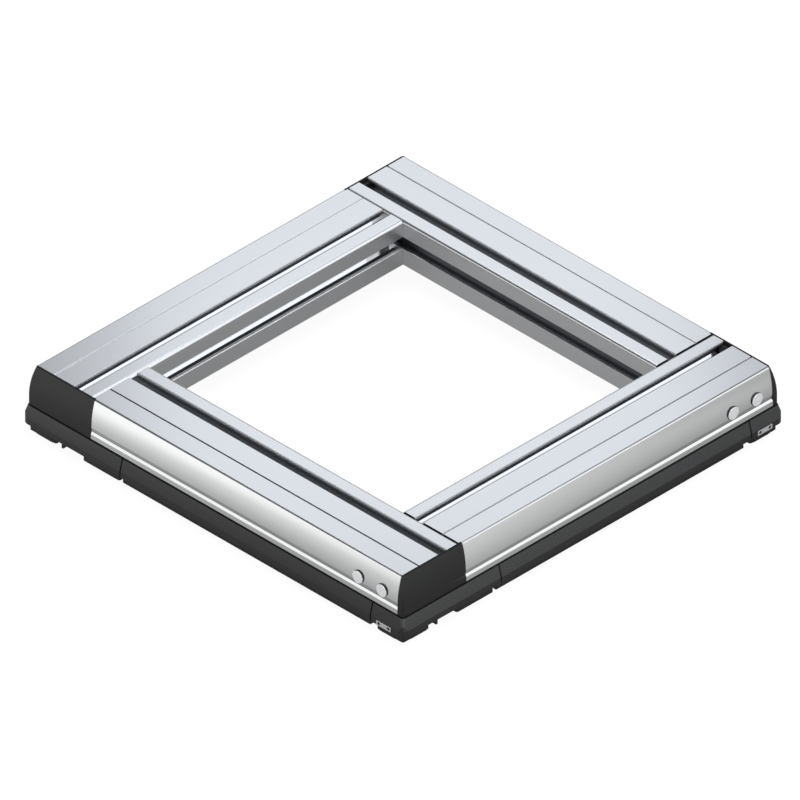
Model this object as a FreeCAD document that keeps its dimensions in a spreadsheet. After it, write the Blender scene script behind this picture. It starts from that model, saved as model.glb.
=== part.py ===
import FreeCAD, Part
import math
import os
import Sketcher

# Workpiece carrier pallet: a square frame of four slotted aluminium profiles on
# a moulded base.  Frame: origin at the bottom centre, Z up, millimetres.
#
# The pallet repeats itself every quarter turn about Z, so each piece is drawn
# once in the place of the front profile, whose outer side faces -Y and whose
# capped end points to +X, and is then turned.  In that place
#   s is the distance inward from the outermost plane of the base (s = y + half),
#   z is the height above the conveyor.

doc = FreeCAD.newDocument("WorkpieceCarrierPallet")
sheet = doc.addObject("Spreadsheet::Sheet", "sizes")
SIDES = ("front", "right", "back", "left")
made = []


class Size:
    """A length that knows both its value and how the sheet spells it."""

    def __init__(self, value, text):
        self.value = float(value)
        self.text = text

    def _join(self, other, sign, result):
        return Size(result, "(" + self.text + " " + sign + " " + other.text + ")")

    def __add__(self, other):
        other = as_size(other)
        return self._join(other, "+", self.value + other.value)

    def __sub__(self, other):
        other = as_size(other)
        return self._join(other, "-", self.value - other.value)

    def __mul__(self, other):
        other = as_size(other)
        return self._join(other, "*", self.value * other.value)

    def __truediv__(self, other):
        other = as_size(other)
        return self._join(other, "/", self.value / other.value)

    def __radd__(self, other):
        return as_size(other) + self

    def __rsub__(self, other):
        return as_size(other) - self

    def __neg__(self):
        return Size(-self.value, "(0 - " + self.text + ")")


def as_size(number):
    if isinstance(number, Size):
        return number
    return Size(number, str(number))


sheet_row = [1]


def size(alias, value, note):
    """Write one named value into the sheet and hand it back as a Size."""
    row = sheet_row[0]
    sheet.set("A" + str(row), alias)
    sheet.set("B" + str(row), str(value))
    sheet.set("C" + str(row), note)
    sheet.setAlias("B" + str(row), alias)
    sheet_row[0] = row + 1
    return Size(value, "sizes." + alias)


# Whole pallet
pallet_size = size("pallet_size", 400.0, "square outer size over the base")
pallet_height = size("pallet_height", 57.0, "conveyor to top face")
rim_reach = size("rim_reach", 7.5, "base edge beyond the top edge of a profile")
half = pallet_size / 2
edge = half - rim_reach

# Profile section, measured from the outer top edge: inward and down
profile_width = size("profile_width", 60.0, "width of a profile over its top face")
profile_height = size("profile_height", 40.0, "height at the inner side")
skirt_drop = size("skirt_drop", 33.4, "outer side's lower edge below the top")
bulge_reach = size("bulge_reach", 3.85, "swell of the outer side")
bulge_drop = size("bulge_drop", 23.3, "where the swell is fullest")
neck_reach = size("neck_reach", 3.4, "reach at the neck under the swell")
neck_fall = size("neck_fall", 3.6, "neck below the swell's fullest line")
band_reach = size("band_reach", 4.4, "reach of the upright lower band")
bead_fall = size("bead_fall", 2.0, "top of that band below the neck")
edge_round = size("edge_round", 1.75, "radius of the outer top edge")
edge_run = size("edge_run", 1.25, "that round's start on the top face")
edge_drop = size("edge_drop", 1.2, "that round's end below the top")
edge_out = size("edge_out", 0.4, "that round's end beyond the edge")
edge_break = size("edge_break", 0.5, "small chamfer on long edges")
inner_round = size("inner_round", 3.0, "radius of the inner top edge")
groove_place = size("groove_place", 18.0, "alignment groove from the outer edge")
groove_width = size("groove_width", 1.5, "alignment groove width at the top")
groove_floor = size("groove_floor", 0.7, "alignment groove width at its floor")
groove_depth = size("groove_depth", 0.8, "alignment groove depth")
top_slot_inset = size("top_slot_inset", 17.0, "top T-slot centre from the inner face")
top_slot_mouth = size("top_slot_mouth", 8.4, "top T-slot opening")
top_slot_break = size("top_slot_break", 0.6, "chamfer on the top T-slot lips")
top_slot_lip = size("top_slot_lip", 2.7, "thickness of the top T-slot lips")
top_slot_half = size("top_slot_half", 8.25, "half width of the top T-slot inside")
top_slot_wall = size("top_slot_wall", 8.9, "depth where its floor slopes begin")
top_slot_floor = size("top_slot_floor", 11.1, "depth of the top T-slot floor")
side_slot_place = size("side_slot_place", 20.0, "side T-slot centre below the top")
side_slot_mouth = size("side_slot_mouth", 10.0, "side T-slot opening")
side_slot_break = size("side_slot_break", 0.4, "chamfer on the side T-slot lips")
side_slot_lip = size("side_slot_lip", 3.0, "thickness of the side T-slot lips")
side_slot_half = size("side_slot_half", 9.4, "half height of the side T-slot inside")
side_slot_depth = size("side_slot_depth", 12.8, "side T-slot depth")
side_slot_roof = size("side_slot_roof", 7.6, "depth where its roof slope begins")
side_slot_slope = size("side_slot_slope", 2.2, "slope at the back of its floor")
wall = size("wall", 2.6, "wall thickness around the hollows")
channel_one = size("channel_one", 18.0, "outer screw channel from the outer edge")
channel_drop = size("channel_drop", 19.4, "screw channels below the top")
channel_bore = size("channel_bore", 5.0, "screw channel diameter")
boss_reach = size("boss_reach", 5.0, "solid on each side of the outer channel")

# Base
base_width = size("base_width", 34.4, "width of the base modules")
base_gap = size("base_gap", 0.3, "play between base and profile step")
joint_gap = size("joint_gap", 1.2, "gap between neighbouring modules")
corner_length = size("corner_length", 103.2, "long leg of a corner module")
rim_step = size("rim_step", 1.1, "shadow step at the top of the rim")
rim_step_inset = size("rim_step_inset", 6.0, "shadow step from the outermost plane")
rim_top_inset = size("rim_top_inset", 2.6, "rim's top edge from the outermost plane")
slope_drop = size("slope_drop", 44.7, "foot of the rim's slope below the top")
rim_drop = size("rim_drop", 49.7, "underside of the rim below the top")
rim_round = size("rim_round", 6.2, "rim's upright corner radius in plan")
rim_edge = size("rim_edge", 2.7, "radius where its slopes meet")
foot_inset = size("foot_inset", 3.7, "feet from the outermost plane")
foot_step = size("foot_step", 0.4, "further inset of the foot shoulders")
foot_margin = size("foot_margin", 2.4, "base's inner edge behind the feet")
foot_round = size("foot_round", 2.0, "edge radius of the feet in plan")
corner_foot = size("corner_foot", 28.5, "corner foot's main block")
corner_foot_round = size("corner_foot_round", 10.5, "its outer corner radius")
tooth_place = size("tooth_place", 38.3, "narrow rib on the long leg")
tooth_width = size("tooth_width", 1.8, "narrow rib's width")
long_foot = size("long_foot", 38.8, "length of the long leg's foot")
long_foot_gap = size("long_foot_gap", 4.2, "end of that foot before the joint")
tongue = size("tongue", 1.6, "side foot's reach under the corner module")
tongue_play = size("tongue_play", 0.2, "play over that tongue")
side_foot_end = size("side_foot_end", 3.9, "side foot's end before the joint")

# End caps
cap_wall = size("cap_wall", 1.6, "profile's end behind the outer top edge")
cap_lap = size("cap_lap", 1.9, "cap's lap over the next profile's end")
cap_lap_play = size("cap_lap_play", 0.2, "play behind that lap")
cap_round = size("cap_round", 2.0, "cap's upright edge radius")
cap_top_round = size("cap_top_round", 0.3, "cap's top edge radius")
cap_reach = size("cap_reach", 4.2, "swell of the cap")
cap_swell_drop = size("cap_swell_drop", 25.8, "where its swell is fullest")
cap_neck_long = size("cap_neck_long", 18.0, "profile's neck run out in the cap")
cap_plug = size("cap_plug", 3.0, "reach of the cap's plugs into the profile")
cap_play = size("cap_play", 0.3, "play around those plugs")

# Fixings
joint_reach = size("joint_reach", 18.0, "screw's reach into the next profile")
joint_shank = size("joint_shank", 5.4, "joint screw shank")
joint_clear = size("joint_clear", 6.6, "bore for the joint screw")
joint_thread = size("joint_thread", 6.0, "threaded bore in the channel")
joint_head = size("joint_head", 9.4, "joint screw head diameter")
joint_head_tall = size("joint_head_tall", 6.0, "joint screw head height")
joint_key = size("joint_key", 5.0, "joint screw's key socket")
cover_disc = size("cover_disc", 10.7, "cover's visible disc")
cover_front = size("cover_front", 5.1, "cover's face beyond the outer edge")
cover_seat = size("cover_seat", 3.3, "cover's flat seat beyond the outer edge")
cover_break = size("cover_break", 0.25, "chamfer round its face")
cover_plug = size("cover_plug", 9.4, "cover's plug diameter")
cover_plug_long = size("cover_plug_long", 3.0, "cover's plug length")
cover_bore = size("cover_bore", 10.0, "bore behind the cover")
plate_start = size("plate_start", 13.0, "stop plate from the corner end")
plate_long = size("plate_long", 14.9, "stop plate length")
plate_tall = size("plate_tall", 4.0, "stop plate height")
plate_thick = size("plate_thick", 2.3, "stop plate thickness")
plate_proud = size("plate_proud", 0.3, "stop plate beyond the rim")
pin_pitch = size("pin_pitch", 10.0, "stop plate pins apart")
pin_shank = size("pin_shank", 2.3, "stop plate pin diameter")
pin_bore = size("pin_bore", 2.9, "bore for the pin")
pin_long = size("pin_long", 8.0, "stop plate pin length")
pin_sunk = size("pin_sunk", 0.5, "pin's face below the plate's face")
bush_place = size("bush_place", 17.5, "bush centre from both outermost planes")
bush_outer = size("bush_outer", 16.0, "bush outer diameter")
bush_inner = size("bush_inner", 12.0, "bush bore")
bush_long = size("bush_long", 12.0, "bush length")
bush_sunk = size("bush_sunk", 0.3, "bush above the foot's underside")
bush_play = size("bush_play", 0.3, "play around the bush")
screw_row = size("screw_row", 17.0, "base screws from the outermost plane")
screw_near = size("screw_near", 50.0, "corner screw under the capped profile")
screw_far = size("screw_far", 80.0, "corner screw under the next profile")
screw_inset = size("screw_inset", 40.0, "side module's end screws from its joints")
screw_sunk = size("screw_sunk", 3.2, "screw seat above the rim's underside")
screw_head = size("screw_head", 8.4, "base screw head diameter")
screw_head_tall = size("screw_head_tall", 3.0, "base screw head height")
screw_key = size("screw_key", 3.0, "base screw's key socket")
screw_shank = size("screw_shank", 4.4, "base screw shank")
screw_long = size("screw_long", 16.4, "base screw shank length")
screw_play = size("screw_play", 0.3, "play around base screws")

# Places that follow from these, and heights above the conveyor
top_slot_place = profile_width - top_slot_inset
channel_two = top_slot_place
foot_back = base_width - foot_margin
long_foot_end = corner_length - long_foot_gap
long_foot_start = long_foot_end - long_foot
top = pallet_height
skirt = top - skirt_drop
rim_under = top - rim_drop
slope_foot = top - slope_drop
rim_top = skirt - rim_step
profile_under = top - profile_height
butt = half - rim_reach - profile_width
capped = edge - cap_wall
step_place = base_width + base_gap
neck_drop = bulge_drop + neck_fall
band_drop = neck_drop + bead_fall
bulge_radius = (bulge_drop * bulge_drop + bulge_reach * bulge_reach) / (bulge_reach * 2)
cap_radius = (cap_swell_drop * cap_swell_drop + cap_reach * cap_reach) / (cap_reach * 2)


def make_body(label, quarter=0):
    body = doc.addObject("PartDesign::Body", label)
    body.Label = label
    turn = FreeCAD.Rotation(FreeCAD.Vector(0, 0, 1), 90.0 * quarter)
    body.Placement = FreeCAD.Placement(FreeCAD.Vector(0, 0, 0), turn)
    made.append(body)
    return body


def make_sketch(body, name, role, shift=(0, 0, 0)):
    """A sketch on one of the body's own origin planes, moved by three Sizes."""
    sketch = body.newObject("Sketcher::SketchObject", body.Label + "_" + name)
    plane = [item for item in body.Origin.OriginFeatures if item.Role == role][0]
    sketch.AttachmentSupport = (plane, [""])
    sketch.MapMode = "FlatFace"
    values = [as_size(item) for item in shift]
    place = FreeCAD.Vector(*[item.value for item in values])
    sketch.AttachmentOffset = FreeCAD.Placement(place, FreeCAD.Rotation())
    for axis, item in zip("xyz", values):
        if item.text != "0":
            sketch.setExpression("AttachmentOffset.Base." + axis, item.text)
    return sketch


def bind(sketch, constraint, length):
    index = sketch.addConstraint(constraint)
    sketch.setExpression("Constraints[" + str(index) + "]", length.text)


def pin_point(sketch, index, end, x, y):
    """Tie one point of a sketch to its two coordinates."""
    if x.text == "0":
        sketch.addConstraint(Sketcher.Constraint("PointOnObject", index, end, -2))
    else:
        bind(sketch, Sketcher.Constraint("DistanceX", -1, 1, index, end, x.value), x)
    if y.text == "0":
        sketch.addConstraint(Sketcher.Constraint("PointOnObject", index, end, -1))
    else:
        bind(sketch, Sketcher.Constraint("DistanceY", -1, 1, index, end, y.value), y)


def arc_between(start, finish, radius, turns_left):
    """The short arc from start to finish; turns_left tells which way it bends."""
    chord = finish - start
    middle = (start + finish) * 0.5
    reach = math.sqrt(max(radius * radius - chord.Length * chord.Length / 4.0, 0.0))
    normal = FreeCAD.Vector(-chord.y, chord.x, 0).normalize()
    side = 1.0 if turns_left else -1.0
    centre = middle + normal * (reach * side)
    first, last = (start, finish) if turns_left else (finish, start)
    begin = math.atan2(first.y - centre.y, first.x - centre.x)
    stop = math.atan2(last.y - centre.y, last.x - centre.x)
    circle = Part.Circle(centre, FreeCAD.Vector(0, 0, 1), radius)
    return Part.ArcOfCircle(circle, begin, stop)


def draw(sketch, path):
    """Closed outline.  A corner is (x, y) for a straight edge leaving it, or
    (x, y, "left" or "right", radius) for an arc that bends that way."""
    corners = []
    for corner in path:
        corners.append((as_size(corner[0]), as_size(corner[1])) + tuple(corner[2:]))
    edges = []
    for place, corner in enumerate(corners):
        following = corners[(place + 1) % len(corners)]
        start = FreeCAD.Vector(corner[0].value, corner[1].value, 0)
        finish = FreeCAD.Vector(following[0].value, following[1].value, 0)
        if len(corner) == 2:
            index = sketch.addGeometry(Part.LineSegment(start, finish), False)
            edges.append((index, 1, 2))
        else:
            left = corner[2] == "left"
            shape = arc_between(start, finish, as_size(corner[3]).value, left)
            index = sketch.addGeometry(shape, False)
            edges.append((index, 1, 2) if left else (index, 2, 1))
    for place, corner in enumerate(corners):
        index, start, finish = edges[place]
        following = edges[(place + 1) % len(edges)]
        joint = Sketcher.Constraint("Coincident", index, finish, following[0], following[1])
        sketch.addConstraint(joint)
        pin_point(sketch, index, start, corner[0], corner[1])
        if len(corner) > 2:
            radius = as_size(corner[3])
            bind(sketch, Sketcher.Constraint("Radius", index, radius.value), radius)


def ring(sketch, x, y, diameter):
    centre = FreeCAD.Vector(x.value, y.value, 0)
    circle = Part.Circle(centre, FreeCAD.Vector(0, 0, 1), diameter.value / 2)
    index = sketch.addGeometry(circle, False)
    bind(sketch, Sketcher.Constraint("Diameter", index, diameter.value), diameter)
    pin_point(sketch, index, 3, x, y)


def box_path(x_low, y_low, x_high, y_high):
    return [(x_low, y_low), (x_high, y_low), (x_high, y_high), (x_low, y_high)]


def round_box(x_low, y_low, x_high, y_high, radius):
    """A rectangle whose four corners are rounded."""
    return [
        (x_low + radius, y_low),
        (x_high - radius, y_low, "left", radius),
        (x_high, y_low + radius),
        (x_high, y_high - radius, "left", radius),
        (x_high - radius, y_high),
        (x_low + radius, y_high, "left", radius),
        (x_low, y_high - radius),
        (x_low, y_low + radius, "left", radius),
    ]


def grow(body, kind, sketch, length, reverse=False):
    """Pad or Pocket a sketch by a Size and make it the body's tip."""
    doc.recompute()
    feature = body.newObject("PartDesign::" + kind, sketch.Name + "_" + kind)
    feature.Profile = sketch
    length = as_size(length)
    feature.Length = length.value
    feature.setExpression("Length", length.text)
    feature.Reversed = reverse
    sketch.Visibility = False
    body.Tip = feature
    doc.recompute()
    return feature


def spin(body, sketch):
    """Turn a sketch about its own upright axis."""
    doc.recompute()
    feature = body.newObject("PartDesign::Revolution", sketch.Name + "_turned")
    feature.Profile = sketch
    feature.ReferenceAxis = (sketch, ["V_Axis"])
    feature.Angle = 360.0
    sketch.Visibility = False
    body.Tip = feature
    doc.recompute()
    return feature


def join(body, kind, first, last):
    """A ruled loft between two sketches, added to the body or cut from it."""
    doc.recompute()
    feature = body.newObject("PartDesign::" + kind, first.Name + "_loft")
    feature.Profile = first
    feature.Sections = [last]
    feature.Ruled = True
    first.Visibility = False
    last.Visibility = False
    body.Tip = feature
    doc.recompute()
    return feature


def repeat_round(body, features):
    """Repeat features every quarter turn about Z."""
    pattern = body.newObject("PartDesign::PolarPattern", body.Label + "_round")
    pattern.Originals = features
    axis = [item for item in body.Origin.OriginFeatures if item.Role == "Z_Axis"][0]
    pattern.Axis = (axis, [""])
    pattern.Angle = 360.0
    pattern.Occurrences = 4
    body.Tip = pattern
    doc.recompute()
    return pattern


def soften(body, radius, chosen):
    """Fillet the tip's edges for which chosen(edge) is true."""
    names = []
    before = body.Tip
    for number, item in enumerate(before.Shape.Edges):
        if chosen(item):
            names.append("Edge" + str(number + 1))
    if not names:
        raise RuntimeError(body.Label + ": no edge to round")
    fillet = body.newObject("PartDesign::Fillet", body.Label + "_round_" + str(len(names)))
    fillet.Base = (before, names)
    fillet.Radius = radius.value
    fillet.setExpression("Radius", radius.text)
    body.Tip = fillet
    doc.recompute()
    return fillet


# Section of the profile, in s and z

def inward(distance):
    return rim_reach + distance


def outward(distance):
    return rim_reach - distance


def profile_outline():
    """Outer boundary, from the outer top edge along the top, round the inner
    side, back under the profile and up the swelling outer side."""
    slot = inward(top_slot_place)
    mouth = top_slot_mouth / 2
    half_floor = top_slot_half - (top_slot_floor - top_slot_wall)
    path = [
        (rim_reach + edge_run, top),
        (inward(groove_place) - groove_width / 2, top),
        (inward(groove_place) - groove_floor / 2, top - groove_depth),
        (inward(groove_place) + groove_floor / 2, top - groove_depth),
        (inward(groove_place) + groove_width / 2, top),
        (slot - mouth - top_slot_break, top),
        (slot - mouth, top - top_slot_break),
        (slot - mouth, top - top_slot_lip),
        (slot - top_slot_half, top - top_slot_lip),
        (slot - top_slot_half, top - top_slot_wall),
        (slot - half_floor, top - top_slot_floor),
        (slot + half_floor, top - top_slot_floor),
        (slot + top_slot_half, top - top_slot_wall),
        (slot + top_slot_half, top - top_slot_lip),
        (slot + mouth, top - top_slot_lip),
        (slot + mouth, top - top_slot_break),
        (slot + mouth + top_slot_break, top),
        (inward(profile_width) - inner_round, top, "right", inner_round),
    ]
    face = inward(profile_width)
    lip = face - side_slot_lip
    back = face - side_slot_depth
    centre = top - side_slot_place
    opening = side_slot_mouth / 2
    roof = centre + side_slot_half
    floor = centre - side_slot_half
    path += [
        (face, top - inner_round),
        (face, centre + opening + side_slot_break),
        (face - side_slot_break, centre + opening),
        (lip, centre + opening),
        (lip, roof),
        (face - side_slot_roof, roof),
        (back, roof - (side_slot_depth - side_slot_roof)),
        (back, floor + side_slot_slope),
        (back + side_slot_slope, floor),
        (lip, floor),
        (lip, centre - opening),
        (face - side_slot_break, centre - opening),
        (face, centre - opening - side_slot_break),
        (face, profile_under + edge_break),
        (face - edge_break, profile_under),
        (step_place + edge_break, profile_under),
        (step_place, profile_under + edge_break),
        (step_place, skirt),
        (outward(band_reach) + edge_break, skirt),
        (outward(band_reach), skirt + edge_break),
        (outward(band_reach), top - band_drop),
        (outward(neck_reach), top - neck_drop),
        (outward(bulge_reach), top - bulge_drop, "right", bulge_radius),
        (outward(edge_out), top - edge_drop, "right", edge_round),
    ]
    return path


def hollow_paths():
    """The four hollows inside a profile; each keeps the wall thickness."""
    boss_left = inward(channel_one) - boss_reach
    boss_right = inward(channel_one) + boss_reach
    web_low = skirt + wall
    roof = top - wall
    slot_side = inward(top_slot_place) - top_slot_half - wall
    channel_top = top - channel_drop + channel_bore / 2 + wall
    channel_side = inward(channel_two) - channel_bore / 2 - wall
    outer = [
        (outward(neck_reach) + wall, web_low),
        (boss_left, web_low),
        (boss_left, roof),
        (inward(wall), roof),
        (outward(neck_reach) + wall, top - channel_drop),
    ]
    upper = box_path(boss_left + wall, channel_top, slot_side, roof)
    middle = box_path(boss_right, web_low, channel_side, channel_top - wall)
    lower = box_path(step_place + wall, profile_under + wall,
                     inward(profile_width) - wall - wall, skirt + edge_break / 4)
    return [outer, upper, middle, lower]


def channel_places():
    return [inward(channel_one), inward(channel_two)]


joint_z = top - channel_drop
screw_seat = rim_under + screw_sunk
side_screws = [
    corner_length + screw_inset,
    (corner_length + pallet_size - base_width) / 2,
    pallet_size - base_width - screw_inset,
]


def make_profile(quarter):
    body = make_body("profile_" + SIDES[quarter], quarter)
    section = make_sketch(body, "section", "YZ_Plane", (-half, 0, -butt))
    draw(section, profile_outline())
    for path in hollow_paths():
        draw(section, path)
    for place in channel_places():
        ring(section, place, joint_z, channel_bore)
    grow(body, "Pad", section, butt + capped)

    # near the capped end: bores for the screws into the next profile
    seat = make_sketch(body, "cover_seats", "XZ_Plane", (0, 0, half))
    access = make_sketch(body, "access", "XZ_Plane", (0, 0, half))
    through = make_sketch(body, "through", "XZ_Plane", (0, 0, half))
    for place in (channel_one, channel_two):
        ring(seat, edge - place, joint_z, cover_disc + screw_play * 2)
        ring(access, edge - place, joint_z, cover_bore)
        ring(through, edge - place, joint_z, joint_clear)
    grow(body, "Pocket", seat, outward(cover_seat))
    grow(body, "Pocket", access, inward(wall * 2))
    grow(body, "Pocket", through, inward(profile_width) + wall)

    # at the butt end: threaded bores in the channels, and room for the cap's lap
    threads = make_sketch(body, "threads", "YZ_Plane", (-half, 0, -butt))
    for place in channel_places():
        ring(threads, place, joint_z, joint_thread)
    grow(body, "Pocket", threads, joint_reach + wall, True)
    lap = make_sketch(body, "lap", "YZ_Plane", (-half, 0, -butt))
    lap_depth = inward(cap_wall + cap_lap_play)
    draw(lap, box_path(as_size(0), profile_under, lap_depth, top + wall))
    grow(body, "Pocket", lap, cap_lap + cap_lap_play, True)

    # underneath: holes for the base screws
    below = make_sketch(body, "base_holes", "XY_Plane",
                        (-half, -half, profile_under - wall))
    hole = screw_shank + screw_play * 2
    for place in [screw_far] + side_screws:
        ring(below, place, screw_row, hole)
    ring(below, pallet_size - screw_row, screw_near, hole)
    rise = screw_seat + screw_long + screw_play - profile_under + wall
    grow(body, "Pocket", below, rise, True)


def make_end_cap(quarter):
    body = make_body("end_cap_" + SIDES[quarter], quarter)
    face = make_sketch(body, "section", "XZ_Plane", (0, 0, half))
    draw(face, [
        (capped, skirt),
        (edge + cap_reach, skirt),
        (edge + cap_reach, top - cap_swell_drop, "left", cap_radius),
        (edge, top),
        (capped, top),
    ])
    grow(body, "Pad", face, rim_reach + profile_width + cap_lap, True)
    side = make_sketch(body, "side", "YZ_Plane", (-half, 0, half))
    draw(side, [
        (as_size(0) - wall, skirt - wall),
        (outward(cap_reach), skirt - wall),
        (outward(cap_reach), top - cap_swell_drop, "right", cap_radius),
        (rim_reach, top),
        (rim_reach, top + wall),
        (as_size(0) - wall, top + wall),
    ])
    grow(body, "Pocket", side, half - capped + wall)

    def upright(item):
        middle = item.CenterOfMass
        outer = middle.x > edge.value and middle.y < -edge.value
        return outer and item.BoundBox.ZLength > wall.value

    soften(body, cap_round, upright)

    def upper(item):
        box = item.BoundBox
        high = box.ZMin > top.value - 0.01
        at_front = item.CenterOfMass.x > edge.value - 0.3
        return high and at_front and box.DiagonalLength > wall.value * 2

    soften(body, cap_top_round, upper)

    # the neck under the profile's swell goes on into the cap and runs out
    finish = half - rim_reach - profile_width - cap_lap
    full = neck_section(body, "neck_full", finish, as_size(0))
    gone = neck_section(body, "neck_gone", finish + cap_neck_long, cap_reach - neck_reach)
    join(body, "SubtractiveLoft", full, gone)

    # plugs into the hollows, and one that closes the end of the top T-slot
    plugs = make_sketch(body, "plugs", "YZ_Plane", (-half, 0, capped))
    boss_left = inward(channel_one) - boss_reach
    channel_top = joint_z + channel_bore / 2 + wall
    draw(plugs, box_path(inward(wall) + cap_play, skirt + wall + cap_play,
                         boss_left - cap_play, top - wall - cap_play))
    draw(plugs, box_path(boss_left + wall + cap_play, channel_top + cap_play,
                         inward(top_slot_place) - top_slot_half - wall - cap_play,
                         top - wall - cap_play))
    slot = inward(top_slot_place)
    half_floor = top_slot_half - (top_slot_floor - top_slot_wall) - cap_play
    draw(plugs, box_path(slot - half_floor, top - top_slot_floor + cap_play,
                         slot + half_floor, top - top_slot_lip - cap_play))
    grow(body, "Pad", plugs, cap_plug, True)


def neck_section(body, name, place, shift):
    sketch = make_sketch(body, name, "XZ_Plane", (0, 0, place))
    outer = edge + band_reach + shift
    draw(sketch, [
        (outer, top - bulge_drop),
        (edge + neck_reach + shift, top - neck_drop),
        (outer, top - band_drop),
    ])
    return sketch


def rim_plan(inset, radius):
    """Plan of the corner module: x from the middle of the pallet, y from its
    corner end; inset moves only the two outer faces."""
    inner = half - base_width + joint_gap / 2
    return [
        (inner, inset),
        (half - inset - radius, inset, "left", radius),
        (half - inset, inset + radius),
        (half - inset, corner_length - joint_gap / 2),
        (inner, corner_length - joint_gap / 2),
    ]


def make_corner_module(quarter):
    body = make_body("corner_module_" + SIDES[quarter], quarter)
    slab = make_sketch(body, "slab", "XY_Plane", (0, -half, rim_under))
    draw(slab, rim_plan(as_size(0), rim_edge))
    grow(body, "Pad", slab, slope_foot - rim_under)
    low = make_sketch(body, "slope_low", "XY_Plane", (0, -half, slope_foot))
    draw(low, rim_plan(as_size(0), rim_edge))
    high = make_sketch(body, "slope_high", "XY_Plane", (0, -half, rim_top))
    draw(high, rim_plan(rim_top_inset, rim_edge))
    join(body, "AdditiveLoft", low, high)
    corner = make_sketch(body, "corner_round", "XY_Plane", (0, -half, rim_top))
    draw(corner, [
        (half - rim_round, 0, "left", rim_round),
        (half, rim_round),
        (half + wall, rim_round),
        (half + wall, -wall),
        (half - rim_round, -wall),
    ])
    grow(body, "Pocket", corner, rim_top - rim_under)
    upper = make_sketch(body, "seat", "XY_Plane", (0, -half, rim_top))
    draw(upper, box_path(half - base_width + joint_gap / 2, rim_step_inset,
                         half - rim_step_inset, corner_length - joint_gap / 2))
    grow(body, "Pad", upper, rim_step)

    # room for the deeper inner part of the profile that crosses over
    room = make_sketch(body, "room", "XY_Plane", (0, -half, skirt))
    draw(room, box_path(half - base_width - wall, base_width,
                        capped + base_gap, inward(profile_width) + base_gap))
    grow(body, "Pocket", room, profile_height - skirt_drop)

    # feet
    shoulder = make_sketch(body, "foot_shoulder", "XY_Plane", (0, -half, 0))
    near = foot_inset + foot_step
    draw(shoulder, round_box(half - foot_back, near, half - near, foot_back, foot_round))
    grow(body, "Pad", shoulder, rim_under + edge_break)
    feet = make_sketch(body, "feet", "XY_Plane", (0, -half, 0))
    draw(feet, [
        (half - corner_foot, foot_inset),
        (half - foot_inset - corner_foot_round, foot_inset, "left", corner_foot_round),
        (half - foot_inset, foot_inset + corner_foot_round),
        (half - foot_inset, corner_foot),
        (half - corner_foot, corner_foot),
    ])
    draw(feet, box_path(half - foot_back, tooth_place,
                        half - foot_inset, tooth_place + tooth_width))
    draw(feet, round_box(half - foot_back, long_foot_start,
                         half - foot_inset, long_foot_end, foot_round))
    grow(body, "Pad", feet, rim_under + edge_break)

    # stop plate's recess with the bores for its pins
    recess = make_sketch(body, "plate_recess", "XZ_Plane", (0, 0, half))
    draw(recess, box_path(half - plate_start - plate_long, rim_under - wall,
                          half - plate_start, rim_under + plate_tall))
    grow(body, "Pocket", recess, plate_thick - plate_proud)
    bores = make_sketch(body, "pin_bores", "XZ_Plane", (0, 0, half))
    for place in pin_places():
        ring(bores, place, rim_under + plate_tall / 2, pin_bore)
    grow(body, "Pocket", bores, pin_sunk - plate_proud + pin_long)

    # bush and screws from below
    bush = make_sketch(body, "bush_bore", "XY_Plane", (0, -half, 0))
    ring(bush, half - bush_place, bush_place, bush_outer + bush_play * 2)
    grow(body, "Pocket", bush, bush_sunk + bush_long, True)
    screw_holes(body, (0, -half), [(half - screw_row, screw_near),
                                   (half - screw_row, screw_far)])


def screw_holes(body, shift, places):
    """Counterbored holes from below for base screws."""
    wide = make_sketch(body, "heads", "XY_Plane", shift + (0,))
    narrow = make_sketch(body, "shanks", "XY_Plane", shift + (0,))
    for x, y in places:
        ring(wide, x, y, screw_head + screw_play * 2)
        ring(narrow, x, y, screw_shank + screw_play * 2)
    grow(body, "Pocket", wide, screw_seat, True)
    grow(body, "Pocket", narrow, top, True)


def pin_places():
    middle = half - plate_start - plate_long / 2
    return [middle - pin_pitch / 2, middle + pin_pitch / 2]


def make_side_module(quarter):
    body = make_body("side_module_" + SIDES[quarter], quarter)
    start = corner_length + joint_gap / 2
    finish = pallet_size - base_width - joint_gap / 2
    section = make_sketch(body, "section", "YZ_Plane", (-half, 0, start - half))
    draw(section, [
        (as_size(0), rim_under),
        (base_width, rim_under),
        (base_width, skirt),
        (rim_step_inset, skirt),
        (rim_step_inset, rim_top),
        (rim_top_inset, rim_top),
        (as_size(0), slope_foot),
    ])
    grow(body, "Pad", section, finish - start)
    foot = make_sketch(body, "foot", "XY_Plane", (-half, -half, 0))
    near = foot_inset + foot_step
    draw(foot, round_box(corner_length - tongue, near,
                         pallet_size - base_width - side_foot_end, foot_back,
                         foot_round / 2))
    grow(body, "Pad", foot, rim_under - tongue_play)
    joint = make_sketch(body, "foot_root", "XY_Plane", (-half, -half, 0))
    draw(joint, box_path(start, near + foot_round / 2,
                         pallet_size - base_width - side_foot_end - foot_round / 2,
                         foot_back - foot_round / 2))
    grow(body, "Pad", joint, rim_under + edge_break)
    screw_holes(body, (-half, -half), [(x, screw_row) for x in side_screws])


def make_stop_plate(quarter):
    body = make_body("stop_plate_" + SIDES[quarter], quarter)
    face = make_sketch(body, "face", "XZ_Plane", (0, 0, half + plate_proud))
    draw(face, box_path(half - plate_start - plate_long, rim_under,
                        half - plate_start, rim_under + plate_tall))
    for place in pin_places():
        ring(face, place, rim_under + plate_tall / 2, pin_bore)
    grow(body, "Pad", face, plate_thick, True)


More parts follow.
